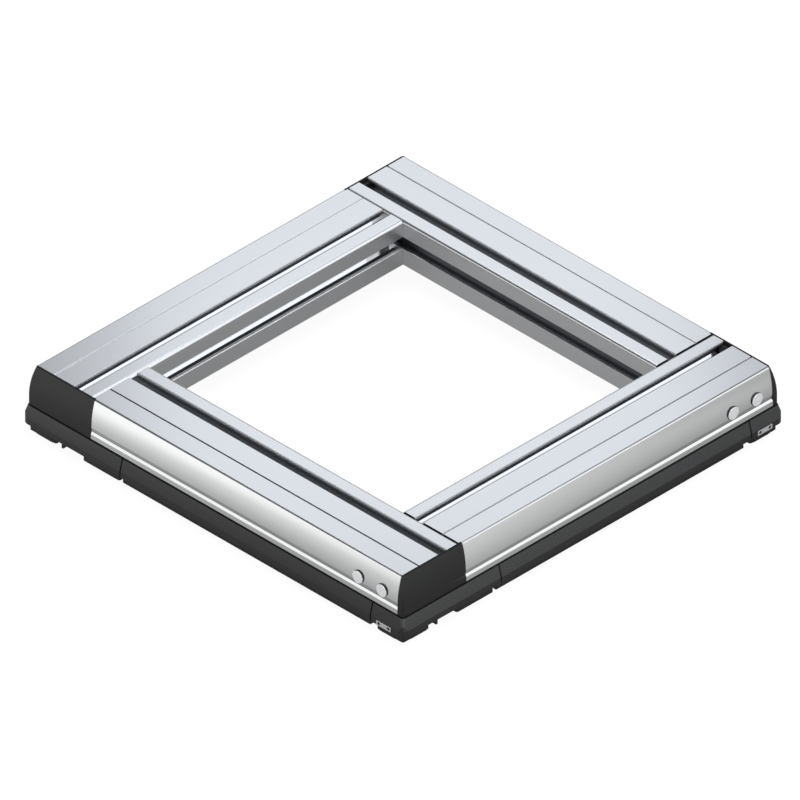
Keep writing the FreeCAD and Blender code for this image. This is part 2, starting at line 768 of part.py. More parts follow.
def make_bush(quarter):
    body = make_body("locating_bush_" + SIDES[quarter], quarter)
    shift = (half - bush_place, 0, half - bush_place)
    section = make_sketch(body, "section", "XZ_Plane", shift)
    bore = bush_inner / 2
    draw(section, [
        (bore + edge_break, bush_sunk),
        (bush_outer / 2 - edge_break, bush_sunk),
        (bush_outer / 2, bush_sunk + edge_break),
        (bush_outer / 2, bush_sunk + bush_long),
        (bore, bush_sunk + bush_long),
        (bore, bush_sunk + edge_break),
    ])
    spin(body, section)


def socket_screw(seat, head, head_tall, key, shank, length):
    """Half section of a socket head screw that points towards larger y."""
    return [
        (as_size(0), seat - head_tall / 2),
        (key / 2, seat - head_tall / 2),
        (key / 2, seat - head_tall),
        (head / 2, seat - head_tall),
        (head / 2, seat),
        (shank / 2, seat),
        (shank / 2, seat + length),
        (as_size(0), seat + length),
    ]


def make_joint_screws():
    body = make_body("joint_screws")
    turned = []
    seat = inward(channel_one) - boss_reach
    length = profile_width - channel_one + boss_reach + joint_reach
    for number, place in enumerate((channel_one, channel_two)):
        sketch = make_sketch(body, "screw_" + str(number), "XY_Plane",
                             (edge - place, -half, joint_z))
        draw(sketch, socket_screw(seat, joint_head, joint_head_tall, joint_key,
                                  joint_shank, length))
        turned.append(spin(body, sketch))
    repeat_round(body, turned)


def make_joint_screw_covers():
    body = make_body("joint_screw_covers")
    turned = []
    front = outward(cover_front)
    seat = outward(cover_seat)
    for number, place in enumerate((channel_one, channel_two)):
        sketch = make_sketch(body, "cover_" + str(number), "XY_Plane",
                             (edge - place, -half, joint_z))
        draw(sketch, [
            (as_size(0), front),
            (cover_disc / 2 - cover_break, front),
            (cover_disc / 2, front + cover_break),
            (cover_disc / 2, seat),
            (cover_plug / 2, seat),
            (cover_plug / 2, seat + cover_plug_long),
            (as_size(0), seat + cover_plug_long),
        ])
        turned.append(spin(body, sketch))
    repeat_round(body, turned)


def make_stop_plate_pins():
    body = make_body("stop_plate_pins")
    turned = []
    start = pin_sunk - plate_proud
    for number, place in enumerate(pin_places()):
        sketch = make_sketch(body, "pin_" + str(number), "XY_Plane",
                             (place, -half, rim_under + plate_tall / 2))
        draw(sketch, box_path(as_size(0), start, pin_shank / 2, start + pin_long))
        turned.append(spin(body, sketch))
    repeat_round(body, turned)


def make_module_screws():
    body = make_body("module_screws")
    turned = []
    places = [
        (half - screw_row, half - screw_near),
        (half - screw_row, half - screw_far),
    ]
    for x in side_screws:
        places.append((x - half, half - screw_row))
    for number, (x, back) in enumerate(places):
        sketch = make_sketch(body, "screw_" + str(number), "XZ_Plane", (x, 0, back))
        draw(sketch, socket_screw(screw_seat, screw_head, screw_head_tall, screw_key,
                                  screw_shank, screw_long))
        turned.append(spin(body, sketch))
    repeat_round(body, turned)


for turn in range(4):
    make_profile(turn)
    make_end_cap(turn)
    make_corner_module(turn)
    make_side_module(turn)
    make_stop_plate(turn)
    make_bush(turn)
make_joint_screws()
make_joint_screw_covers()
make_stop_plate_pins()
make_module_screws()
doc.recompute()

for item in doc.Objects:
    if "Invalid" in item.State or "Error" in item.State:
        raise RuntimeError(item.Label + " did not build: " + str(item.State))
for item in made:
    shape = item.Shape
    if shape.isNull() or not shape.isValid() or not shape.Solids:
        raise RuntimeError(item.Label + " has no sound shape")

os.makedirs("parts", exist_ok=True)
for item in made:
    item.Shape.exportStep("parts/" + item.Label + ".step")
    print(item.Label, len(item.Shape.Solids), "solid(s)", round(item.Shape.Volume, 1))
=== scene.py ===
import math

import bpy
import numpy as np
from bpy.props import FloatProperty, FloatVectorProperty, PointerProperty
from bpy.types import NodeSocket, Operator, Panel, PropertyGroup
from mathutils import Matrix, Vector


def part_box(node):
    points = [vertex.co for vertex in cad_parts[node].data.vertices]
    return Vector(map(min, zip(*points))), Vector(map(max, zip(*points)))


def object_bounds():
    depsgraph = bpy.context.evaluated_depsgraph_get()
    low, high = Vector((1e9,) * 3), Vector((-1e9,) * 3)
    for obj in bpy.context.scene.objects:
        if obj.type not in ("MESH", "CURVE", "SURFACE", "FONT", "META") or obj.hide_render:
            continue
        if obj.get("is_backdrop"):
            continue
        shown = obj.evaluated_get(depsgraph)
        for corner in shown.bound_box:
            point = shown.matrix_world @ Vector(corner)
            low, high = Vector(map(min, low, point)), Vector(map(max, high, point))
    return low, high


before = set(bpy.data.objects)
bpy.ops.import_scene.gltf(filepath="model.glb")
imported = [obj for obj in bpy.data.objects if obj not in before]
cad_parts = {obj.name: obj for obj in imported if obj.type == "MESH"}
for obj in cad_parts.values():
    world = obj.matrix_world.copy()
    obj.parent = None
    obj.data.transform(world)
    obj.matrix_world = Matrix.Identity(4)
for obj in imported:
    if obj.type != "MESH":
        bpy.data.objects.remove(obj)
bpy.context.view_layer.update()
SIDES = ("front", "right", "back", "left")
ALONG_X = {"front", "back"}

bl_info = {
    "name": "Workpiece Carrier Pallet",
    "version": (1, 0, 0),
    "blender": (4, 5, 0),
    "location": "View3D > Sidebar > Carrier",
    "description": "Finishes a slotted aluminium workpiece carrier and sets its studio",
    "category": "Object",
}


# Places on the pieces, in metres

# Zones of a profile: what the first band is measured by, that band, and a band of depth
# below the top face.  "slot" is the distance from the top slot's middle, "out" the
# distance outwards from the profile's inner face, and "along" the distance from the
# profile's middle towards the sawn end that butts against the next profile.
FAR = 1.0
TOP_SLOT_MIDDLE = 0.017
ZONES = {
    "top lips": ("slot", (0.0041, 0.0047), (0.0001, 0.0020)),
    "lip chamfers": ("slot", (0.0041, 0.0050), (0.00005, 0.0006)),
    "top walls": ("slot", (-FAR, 0.0084), (0.0020, 0.0088)),
    "top floor": ("slot", (-FAR, 0.0060), (0.0087, 0.0113)),
    "top slopes": ("slot", (0.0060, 0.0084), (0.0088, 0.0113)),
    "slope feet": ("slot", (0.0050, 0.0080), (0.01035, 0.0110)),
    "side lips": ("out", (0.0001, 0.0031), (0.0145, 0.0255)),
    "side walls": ("out", (0.0029, 0.0130), (0.0104, 0.0271)),
    "side floor": ("out", (0.0029, 0.0107), (0.0270, 0.0296)),
    "side slopes": ("out", (0.0106, 0.0130), (0.0271, 0.0296)),
    "inner face": ("out", (-FAR, 0.0002), (0.0028, FAR)),
    "groove floor": ("out", (0.0411, 0.0421), (0.0001, 0.0010)),
    "groove wall": ("out", (0.0421, 0.0429), (0.0001, 0.0010)),
    "edge start": ("out", (0.0586, FAR), (0.00003, 0.0005)),
    "outer side": ("out", (0.0590, FAR), (0.0011, FAR)),
    "neck_shade": ("out", (0.0590, FAR), (0.0235, 0.0268)),
    "sawn end": ("along", (0.1324, FAR), (-FAR, FAR)),
}
SLOT_INSIDES = ("top walls", "top floor", "side walls", "side floor")
SLOT_SLOPES = ("top slopes", "side slopes")

# Painted shade and painted highlights over the zones, in the order in which they are laid on:
# the zones, the paint on the two profiles along X, and the paint on the other two
PAINTED_SHADE_AND_HIGHLIGHTS = (
    (("inner face",), "aluminium", "inner"),
    (("outer side",), "side", "side"),
    (("neck_shade",), "neck_shade", "neck_shade"),
    (("top lips",), "lip", "lip"),
    (("edge start",), "edge_shade_line", "edge_shade_line"),
    (("groove floor",), "groove", "pale_groove_shade"),
    (("groove wall",), "aluminium", "side"),
    (SLOT_INSIDES, "slot", "dull_slot_shade"),
    (SLOT_SLOPES, "slot", "side"),
    (("sawn end",), "sawn", "sawn"),
    (("slope feet",), None, "foot"),
    (("lip chamfers",), None, "lip_chamfer_shade"),
    (("side lips",), None, "lip"),
)
# The same for the roughness of zones that differ from the skin
ROUGHNESSES = (
    (("inner face",), 0.40, 0.40),
    (("top lips",), 0.40, 0.40),
    (("side lips",), 0.25, 0.60),
    (SLOT_INSIDES, 0.50, 0.50),
    (SLOT_SLOPES, 0.50, 0.10),
)

CAP_SHADE_STRIP = 0.0003      # height of the painted shade strip along the end caps' top edges
STEP_DEPTH = 0.0012     # depth of the step round the top of the base, which is painted black as painted shade
STEP_REACH = 0.1968     # how far out that step goes from the middle
SLOPE_DEPTH = 0.0113    # depth of the foot of the base's slope below the profiles
COVER_EDGE = 0.0003     # how far the covers' side walls lie behind their faces


# Numbers of the finishes

NOISE_SPAN = (0.3, 0.7)        # where most values of a noise lie
CLOUD_SPAN = (0.35, 0.65)      # the same for the aluminium's slow clouds
ALUMINIUM_CLOUD = 14.0         # slow changes of its gloss per metre
ALUMINIUM_DRIFT = 6.0          # changes per metre along the lines of extrusion
PLASTIC_CLOUD = 25.0           # slow changes of its colour per metre
LIT_SLOPE_GAIN = 3.4               # how many times paler the base's slopes facing X are painted, as painted light
COVER_WALL_GREY = 0.08
DULL = 0.9                     # roughness of whatever is darkened


# Numbers of the studio

# Greys of the table, painted shade round the object and painted light falling off to the
# right, at distances in metres: from the pallet's middle, square-wise, and rightwards in the
# camera's view, which is from that middle towards +X and +Y
AWAY_SPAN = (0.0, 0.8)
AWAY_SHADE_TONES = ((0.0, 0.38), (0.17, 0.40), (0.205, 0.40), (0.227, 0.46), (0.242, 0.59),
              (0.262, 0.71), (0.288, 0.80), (0.33, 0.91), (0.40, 1.0), (0.50, 1.0))
RIGHTWARD_SPAN = (-0.6, 0.6)
RIGHTWARD_FALLOFF_TONES = ((-0.484, 1.0), (-0.434, 1.0), (-0.378, 1.0), (-0.33, 0.85),
                   (-0.285, 0.74), (-0.225, 0.70), (-0.15, 0.58), (-0.04, 0.57),
                   (0.12, 0.57), (0.22, 0.535), (0.30, 0.49), (0.38, 0.49),
                   (0.434, 0.43), (0.483, 0.335), (0.53, 0.24))
TABLE_WHITE = (0.52, 0.60)     # from here to here those greys give way to white
TABLE_RINGS = (0.5, 1.0, 2.0, 4.0, 8.0)  # radii in metres
TABLE_SPOKES = 96

# Heights in the sky, as the sine of the angle above the horizon
SKY_RISE = (0.25, 0.60)        # from the low sky to the high sky
HORIZON_FADE = (0.32, 0.12)    # what mirrors see fades down to white here

PICTURE_PIXELS = 800.0
TOP_CENTRE_PIXELS = (3.0, 34.1)  # top face's centre, right of and above the middle
CAMERA_DISTANCE = 1.5            # in metres, as are the nearest and farthest it sees
CAMERA_CLIP = (0.01, 20.0)

WHITE = (1.0, 1.0, 1.0, 1.0)


# Properties

def colour(name, value, words):
    return FloatVectorProperty(name=name, description=words, subtype="COLOR", size=4,
                               min=0.0, max=1.0, default=value)


def length(name, value, words):
    return FloatProperty(name=name, description=words, subtype="DISTANCE",
                         unit="LENGTH", default=value)


def level(name, value, words):
    return FloatProperty(name=name, description=words, default=value, min=0.0)


def angle(name, degrees, words):
    return FloatProperty(name=name, description=words, subtype="ANGLE",
                         unit="ROTATION", default=math.radians(degrees))


class CarrierFinish(PropertyGroup):
    """Colours and surface sizes of the carrier's finishes, and the colours of the painted
    shade and painted highlights on the profiles.
    """
    aluminium: colour("Aluminium", (0.90, 0.905, 0.91, 1.0), "Anodised profile colour")
    # painted highlight: the profiles' swell, and on two profiles their slots' slopes and a
    # groove wall, painted paler than the aluminium
    side: colour("Outer side", (0.975, 0.98, 0.98, 1.0), "Bright swell of the profiles")
    # painted shade in the undercut below the swell
    neck_shade: colour("Neck", (0.72, 0.725, 0.73, 1.0), "Undercut below that swell")
    # painted shade on the inner side of two profiles
    inner: colour("Inner side", (0.72, 0.725, 0.73, 1.0), "Inner side of two profiles")
    # painted shade: a dark line at the start of the rounded top edge
    edge_shade_line: colour("Edge line", (0.50, 0.505, 0.51, 1.0), "Start of the rounded top edge")
    # painted highlight on the walls of the slots' lips
    lip: colour("Slot lip", (0.98, 0.985, 0.99, 1.0), "Walls of the slots' lips")
    # painted shade on the chamfers of two profiles' slot lips
    lip_chamfer_shade: colour("Lip chamfer", (0.45, 0.455, 0.46, 1.0), "Chamfers of two slots' lips")
    # painted shade inside the slots, on two profiles and on the other two
    slot: colour("Slot", (0.30, 0.31, 0.33, 1.0), "Inside of two profiles' slots")
    dull_slot_shade: colour("Dull slot", (0.25, 0.255, 0.27, 1.0), "The same in the other two")
    # painted shade line at the foot of the slopes in those slots
    foot: colour("Slope foot", (0.42, 0.425, 0.43, 1.0), "Foot of the slopes in those slots")
    # painted shade in the alignment groove, darker on two profiles and lighter on the other
    # two
    groove: colour("Groove", (0.06, 0.065, 0.075, 1.0), "Alignment groove of two profiles")
    pale_groove_shade: colour("Pale groove", (0.46, 0.47, 0.49, 1.0), "The same on the other two")
    # painted shade on the sawn ends, where they butt against the next profile
    sawn: colour("Sawn end", (0.06, 0.06, 0.065, 1.0), "Sawn ends of the profiles")
    cap: colour("End cap", (0.008, 0.008, 0.008, 1.0), "Moulded end caps")
    base: colour("Base", (0.012, 0.012, 0.012, 1.0), "Moulded base modules")
    cover: colour("Screw cover", (0.94, 0.94, 0.94, 1.0), "Round covers over the screws")
    plate: colour("Stop plate", (0.84, 0.84, 0.85, 1.0), "Bright ground stop plates")
    steel: colour("Steel", (0.60, 0.60, 0.61, 1.0), "Bushes and screws")
    oxide: colour("Black oxide", (0.008, 0.008, 0.008, 1.0), "Pins of the stop plates")
    aluminium_roughness: FloatProperty(name="Aluminium roughness", subtype="FACTOR",
                                       description="Gloss of the anodised skin",
                                       default=0.20, min=0.0, max=1.0)
    draw_line: length("Draw line", 0.0004, "Spacing of the lines left by extrusion")
    grain: length("Moulding grain", 0.0006, "Grain size of the moulded plastic")
    edge: length("Edge radius", 0.0002, "Rounding that catches the light on edges")


class CarrierStudio(PropertyGroup):
    """Camera, table, sky and lamps."""
    view_width: length("View width", 0.59312, "Width that the camera sees")
    azimuth: angle("Azimuth", 45.0, "Camera's turn about Z")
    elevation: angle("Elevation", 35.0, "Camera's height angle")
    backdrop: level("Backdrop", 0.94, "White that the camera sees in shadow, too")
    shadow: level("Shadow", 0.08, "Depth of the shadow on that white")
    sky: colour("Sky", (0.90, 0.94, 1.0, 1.0), "Light from all round")
    sky_level: level("Low sky", 0.60, "Strength of the sky low down")
    high_level: level("High sky", 0.25, "Strength of the sky overhead")
    bright_level: level("Rear right panel", 0.80, "Added behind the object on the right")
    flag_level: level("Dark flag", 0.20, "Taken away at the front left")
    front_level: level("Front panel", 0.36, "Added on the camera's side")
    screen_level: level("Dark screen", 0.65, "Share taken away low at the rear left")
    overhead_power: level("Overhead softbox", 33.0, "Watts of the softbox overhead")
    panel_power: level("Rear left softbox", 1.30, "Watts of the softbox behind on the left")
    core_power: level("Softbox core", 0.403, "Watts of that softbox's brighter middle")
    near_power: level("Softbox near end", 0.08, "Watts of that softbox's near end")


# Node helpers

def add(tree, kind, **values):
    node = tree.nodes.new(kind)
    for key, value in values.items():
        setattr(node, key, value)
    return node


def feed(tree, socket, value):
    """Give a socket a plain value or another node's output."""
    if isinstance(value, NodeSocket):
        tree.links.new(value, socket)
    else:
        socket.default_value = value


def emptied_tree(owner):
    """The node tree of a material or a world, with nothing in it."""
    owner.use_nodes = True
    owner.node_tree.nodes.clear()
    return owner.node_tree


def maths(tree, operation, *values):
    node = add(tree, "ShaderNodeMath", operation=operation)
    for socket, value in zip(node.inputs, values):
        feed(tree, socket, value)
    return node.outputs["Value"]


def both(tree, first, second):
    return maths(tree, "MULTIPLY", first, second)


def either(tree, first, second):
    return maths(tree, "MAXIMUM", first, second)


def absolute(tree, value):
    return maths(tree, "ABSOLUTE", value)


def within(tree, value, low, high):
    """1 where low < value < high, otherwise 0."""
    return both(tree, maths(tree, "GREATER_THAN", value, low),
                maths(tree, "LESS_THAN", value, high))


def remap(tree, value, span, result, interpolation="LINEAR"):
    """Carry one span of numbers over to another, and stay inside it."""
    node = add(tree, "ShaderNodeMapRange", interpolation_type=interpolation)
    for name, number in zip(("From Min", "From Max", "To Min", "To Max"), span + result):
        node.inputs[name].default_value = number
    tree.links.new(value, node.inputs["Value"])
    return node.outputs["Result"]


def mixed(tree, kind, places, factor, first, second):
    """A Mix node; places are its sockets for the two values and the result."""
    node = add(tree, "ShaderNodeMix", data_type=kind)
    for place, value in ((0, factor), (places[0], first), (places[1], second)):
        feed(tree, node.inputs[place], value)
    return node.outputs[places[2]]


def mix_numbers(tree, factor, first, second):
    """The first number where the factor is 0, and the second where it is 1."""
    return mixed(tree, "FLOAT", (2, 3, 0), factor, first, second)


def mix_colours(tree, factor, first, second):
    """The first colour where the factor is 0, and the second where it is 1."""
    return mixed(tree, "RGBA", (6, 7, 2), factor, first, second)


def mix_shaders(tree, factor, first, second):
    """The first shader where the factor is 0, and the second where it is 1."""
    node = add(tree, "ShaderNodeMixShader")
    for socket, value in zip(node.inputs, (factor, first, second)):
        tree.links.new(value, socket)
    return node.outputs["Shader"]


def object_axes(tree):
    """X, Y and Z in the part's own frame, in metres."""
    where = add(tree, "ShaderNodeTexCoord")
    parts = add(tree, "ShaderNodeSeparateXYZ")
    tree.links.new(where.outputs["Object"], parts.inputs["Vector"])
    return parts.outputs["X"], parts.outputs["Y"], parts.outputs["Z"]


def square_reach(tree, x, y):
    """Distance from the middle, square-wise."""
    return either(tree, absolute(tree, x), absolute(tree, y))


# Materials

def new_material(name):
    """A material with nothing but a Principled shader, its tree, and the shader."""
    material = bpy.data.materials.new(name)
    tree = emptied_tree(material)
    out = add(tree, "ShaderNodeOutputMaterial")
    shader = add(tree, "ShaderNodeBsdfPrincipled")
    tree.links.new(shader.outputs["BSDF"], out.inputs["Surface"])
    return material, tree, shader


def stretched_noise(tree, scale, detail):
    """Noise on Object coordinates, stretched by the three scales."""
    where = add(tree, "ShaderNodeTexCoord")
    mapping = add(tree, "ShaderNodeMapping")
    mapping.inputs["Scale"].default_value = scale
    noise = add(tree, "ShaderNodeTexNoise")
    noise.inputs["Scale"].default_value = 1.0
    noise.inputs["Detail"].default_value = detail
    noise.inputs["Roughness"].default_value = 0.55
    tree.links.new(where.outputs["Object"], mapping.inputs["Vector"])
    tree.links.new(mapping.outputs["Vector"], noise.inputs["Vector"])
    return noise.outputs["Fac"]


def grey(tone):
    return (tone, tone, tone, 1.0)


def scaled(rgba, factor):
    """The colour made lighter or darker, and never lighter than white."""
    return tuple(min(1.0, c * factor) for c in rgba[:3]) + (1.0,)


def drifting_colour(tree, noise, rgba, low, high):
    """A colour that a noise takes from low to high times itself."""
    return mix_colours(tree, remap(tree, noise, NOISE_SPAN, (0.0, 1.0)),
                       scaled(rgba, low), scaled(rgba, high))


def drifting_number(tree, noise, middle, spread, span=NOISE_SPAN):
    """A number that a noise takes from one side of its middle to the other."""
    return remap(tree, noise, span, (middle - spread, middle + spread))


def raise_bumps(tree, shader, height, distance, strength, edge, lean=0.0):
    """Bump from a height, on top of a small rounding of every edge.  A lean
    turns the surface's normal upwards, as on a face that is slightly domed."""
    rounding = add(tree, "ShaderNodeBevel", samples=6)
    rounding.inputs["Radius"].default_value = edge
    bump = add(tree, "ShaderNodeBump")
    bump.inputs["Distance"].default_value = distance
    bump.inputs["Strength"].default_value = strength
    tree.links.new(height, bump.inputs["Height"])
    tree.links.new(rounding.outputs["Normal"], bump.inputs["Normal"])
    normal = bump.outputs["Normal"]
    if lean:
        lifted = add(tree, "ShaderNodeVectorMath", operation="ADD")
        lifted.inputs[1].default_value = (0.0, 0.0, lean)
        tree.links.new(normal, lifted.inputs[0])
        unit = add(tree, "ShaderNodeVectorMath", operation="NORMALIZE")
        tree.links.new(lifted.outputs["Vector"], unit.inputs[0])
        normal = unit.outputs["Vector"]
    tree.links.new(normal, shader.inputs["Normal"])


def profile_measures(tree, along_x):
    """What the zones are measured by.  The four profiles share the measures,
    which absolute values and signs turn from one profile to the next."""
    inner_face = -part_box("profile_front")[1][1]
    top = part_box("profile_front")[1][2]
    x, y, z = object_axes(tree)
    across = y if along_x else x
    out = maths(tree, "SUBTRACT", absolute(tree, across), inner_face)
    if along_x:
        along = both(tree, x, maths(tree, "SIGN", y))
    else:
        along = both(tree, y, maths(tree, "SIGN", both(tree, x, -1.0)))
    return {
        "depth": maths(tree, "SUBTRACT", top, z),
        "out": out,
        "slot": absolute(tree, maths(tree, "SUBTRACT", out, TOP_SLOT_MIDDLE)),
        "along": along,
    }


def zone_mask(tree, measures, names):
    """1 inside any of the named zones of a profile, otherwise 0."""
    mask = None
    for name in names:
        measure, band, depths = ZONES[name]
        zone = both(tree, within(tree, measures[measure], *band),
                    within(tree, measures["depth"], *depths))
        mask = zone if mask is None else either(tree, mask, zone)
    return mask


def rows_for(table, along_x):
    """The table's zones and values for one pair of profiles, without gaps."""
    pairs = [(zones, lengthwise if along_x else crosswise)
             for zones, lengthwise, crosswise in table]
    return [(zones, value) for zones, value in pairs if value is not None]


def aluminium_material(name, finish, along_x):
    """Anodised extrusion: fine lines run along the profile, the gloss drifts slowly from place
    to place, and the zones get painted shade and painted highlights of their own."""
    material, tree, shader = new_material(name)
    fine = 1.0 / finish.draw_line
    scale = (ALUMINIUM_DRIFT, fine, fine) if along_x else (fine, ALUMINIUM_DRIFT, fine)
    lines = stretched_noise(tree, scale, detail=2.0)
    cloud = stretched_noise(tree, (ALUMINIUM_CLOUD,) * 3, detail=2.0)
    tint = drifting_colour(tree, lines, tuple(finish.aluminium), low=0.985, high=1.01)
    rough = drifting_number(tree, cloud, finish.aluminium_roughness, spread=0.012,
                            span=CLOUD_SPAN)
    shade_and_highlight_paints = rows_for(PAINTED_SHADE_AND_HIGHLIGHTS, along_x)
    roughnesses = rows_for(ROUGHNESSES, along_x)
    measures = profile_measures(tree, along_x)
    masks = {}
    for zones, _ in shade_and_highlight_paints + roughnesses:
        if zones not in masks:
            masks[zones] = zone_mask(tree, measures, zones)
    # painted shade and painted highlights, laid on zone by zone
    for zones, paint in shade_and_highlight_paints:
        tint = mix_colours(tree, masks[zones], tint, tuple(getattr(finish, paint)))
    for zones, roughness in roughnesses:
        rough = mix_numbers(tree, masks[zones], rough, roughness)
    tree.links.new(tint, shader.inputs["Base Color"])
    tree.links.new(rough, shader.inputs["Roughness"])
    shader.inputs["Metallic"].default_value = 1.0
    raise_bumps(tree, shader, lines, distance=0.00001, strength=0.12, edge=finish.edge)
    return material


def plastic_material(name, rgba, finish, roughness, specular):
    """Moulded plastic: a fine grain in height and a faint one in colour."""
    material, tree, shader = new_material(name)
    fine = stretched_noise(tree, (1.0 / finish.grain,) * 3, detail=3.0)
    cloud = stretched_noise(tree, (PLASTIC_CLOUD,) * 3, detail=2.0)
    tree.links.new(drifting_colour(tree, cloud, rgba, low=0.92, high=1.08),
                   shader.inputs["Base Color"])
    tree.links.new(drifting_number(tree, fine, roughness, spread=0.04),
                   shader.inputs["Roughness"])
    shader.inputs["Specular IOR Level"].default_value = specular
    raise_bumps(tree, shader, fine, distance=0.00003, strength=0.3, edge=finish.edge)
    return material


def metal_material(name, rgba, roughness, spacing, edge, metallic=1.0, lean=0.0):
    """Ground or plated metal: fine scratches in height and gloss."""
    material, tree, shader = new_material(name)
    fine = stretched_noise(tree, (1.0 / spacing,) * 3, detail=2.0)
    tree.links.new(drifting_colour(tree, fine, rgba, low=0.94, high=1.03),
                   shader.inputs["Base Color"])
    tree.links.new(drifting_number(tree, fine, roughness, spread=0.03),
                   shader.inputs["Roughness"])
    shader.inputs["Metallic"].default_value = metallic
    raise_bumps(tree, shader, fine, distance=0.00001, strength=0.2, edge=edge, lean=lean)
    return material


def paint_over(material, mask, rgba, roughness=None):
    """Another colour, and if one is given another roughness, under a mask."""
    tree = material.node_tree
    shader = [node for node in tree.nodes if node.type == "BSDF_PRINCIPLED"][0]
    tint = shader.inputs["Base Color"]
    tree.links.new(mix_colours(tree, mask, tint.links[0].from_socket, rgba), tint)
    if roughness is not None:
        rough = shader.inputs["Roughness"]
        tree.links.new(mix_numbers(tree, mask, rough.links[0].from_socket, roughness), rough)


def dress(node, material):
    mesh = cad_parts[node].data
    if not mesh.materials:
        mesh.materials.append(material)
    for place in range(len(mesh.materials)):
        mesh.materials[place] = material


# Operators

class CarrierProfiles(Operator):
    """Give the four aluminium profiles their anodised finish, with painted shade and painted
    highlights in their zones
    """
    bl_idname = "carrier.profiles"
    bl_label = "Finish Profiles"

    def execute(self, context):
        finish = context.scene.carrier_finish
        lengthwise = aluminium_material("anodised_lengthwise", finish, True)
        crosswise = aluminium_material("anodised_crosswise", finish, False)
        for side in SIDES:
            dress("profile_" + side, lengthwise if side in ALONG_X else crosswise)
        return {"FINISHED"}


class CarrierCaps(Operator):
    """Give the four end caps their smooth black plastic, with a strip of painted shade along
    their top edges
    """
    bl_idname = "carrier.caps"
    bl_label = "Finish End Caps"

    def execute(self, context):
        finish = context.scene.carrier_finish
        plastic = plastic_material("cap_plastic_finish", tuple(finish.cap), finish,
                                   roughness=0.42, specular=0.5)
        tree = plastic.node_tree
        height = object_axes(tree)[2]
        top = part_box("end_cap_front")[1][2]
        # painted shade: a black, dull strip along the caps' top edges
        strip = maths(tree, "GREATER_THAN", height, top - CAP_SHADE_STRIP)
        paint_over(plastic, strip, grey(0.0), DULL)
        for side in SIDES:
            dress("end_cap_" + side, plastic)
        return {"FINISHED"}


class CarrierBase(Operator):
    """Give the base modules their grained black plastic, with painted shade in the step round
    their top and painted light on their slopes facing X
    """
    bl_idname = "carrier.base"
    bl_label = "Finish Base"

    def execute(self, context):
        finish = context.scene.carrier_finish
        plastic = plastic_material("base_plastic_finish", tuple(finish.base), finish,
                                   roughness=0.26, specular=0.8)
        tree = plastic.node_tree
        x, y, height = object_axes(tree)
        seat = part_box("side_module_front")[1][2]
        # painted shade: the step round the top of the base, painted black and dull
        step = both(tree, maths(tree, "GREATER_THAN", height, seat - STEP_DEPTH),
                    maths(tree, "LESS_THAN", square_reach(tree, x, y), STEP_REACH))
        paint_over(plastic, step, grey(0.0), DULL)
        # painted light: the slopes facing X painted paler than the rest of the base
        faces_x = maths(tree, "GREATER_THAN", absolute(tree, x), absolute(tree, y))
        slope = within(tree, height, seat - SLOPE_DEPTH, seat - STEP_DEPTH)
        paint_over(plastic, both(tree, faces_x, slope),
                   scaled(tuple(finish.base), LIT_SLOPE_GAIN))
        for side in SIDES:
            dress("corner_module_" + side, plastic)
            dress("side_module_" + side, plastic)
        return {"FINISHED"}


class CarrierMetal(Operator):
    """Give covers, stop plates, bushes, pins and screws their metal"""
    bl_idname = "carrier.metal"
    bl_label = "Finish Small Metal Parts"

    def execute(self, context):
        finish = context.scene.carrier_finish
        cover = metal_material("cover_finish", tuple(finish.cover), roughness=0.42,
                               spacing=0.0004, edge=0.0007, metallic=0.7, lean=0.32)
        tree = cover.node_tree
        x, y, _ = object_axes(tree)
        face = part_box("joint_screw_covers")[1][0]
        wall = maths(tree, "LESS_THAN", square_reach(tree, x, y), face - COVER_EDGE)
        paint_over(cover, wall, grey(COVER_WALL_GREY), DULL)
        plate = metal_material("plate_finish", tuple(finish.plate), roughness=0.35,
                               spacing=0.0003, edge=0.0002, metallic=0.4)
        steel = metal_material("steel_finish", tuple(finish.steel), roughness=0.35,
                               spacing=0.0003, edge=0.0002, metallic=0.4)
        oxide = metal_material("oxide_finish", tuple(finish.oxide), roughness=0.4,
                               spacing=0.0003, edge=0.0001)
        dress("joint_screw_covers", cover)
        for side in SIDES:
            dress("stop_plate_" + side, plate)
            dress("locating_bush_" + side, steel)
        dress("joint_screws", steel)
        dress("module_screws", steel)
        dress("stop_plate_pins", oxide)
        return {"FINISHED"}


# Studio

def lobe(tree, direction, axis, start, full, strength):
    """A smooth spot in the sky: nothing beyond the start angle from its axis,
    and all its strength inside the full angle, in degrees."""
    dot = add(tree, "ShaderNodeVectorMath", operation="DOT_PRODUCT")
    dot.inputs[1].default_value = Vector(axis).normalized()
    tree.links.new(direction, dot.inputs[0])
    angles = (math.cos(math.radians(start)), math.cos(math.radians(full)))
    return remap(tree, dot.outputs["Value"], angles, (0.0, strength), "SMOOTHSTEP")


def tone_curve(tree, value, span, tones):
    """A smooth grey for a distance within the span."""
    low, high = span
    ramp = add(tree, "ShaderNodeValToRGB")
    ramp.color_ramp.interpolation = "B_SPLINE"
    points = ramp.color_ramp.elements
    while len(points) < len(tones):
        points.new(0.5)
    for point, (place, tone) in zip(points, tones):
        point.position = (place - low) / (high - low)
        point.color = grey(tone)
    tree.links.new(remap(tree, value, span, (0.0, 1.0)), ramp.inputs["Fac"])
    return ramp.outputs["Color"]


def softbox(scene, name, place, aim, size, power, tint=WHITE[:3]):
    """A lamp that mirrors see and the camera doesn't."""
    lamp = bpy.data.lights.new(name, "AREA")
    lamp.shape = "RECTANGLE"
    lamp.size, lamp.size_y = size
    lamp.energy = power
    lamp.color = tint
    item = bpy.data.objects.new(name, lamp)
    back = Vector(place) - Vector(aim)
    item.matrix_world = (Matrix.Translation(Vector(place))
                         @ back.to_track_quat("Z", "Y").to_matrix().to_4x4())
    item.visible_camera = False
    scene.collection.objects.link(item)


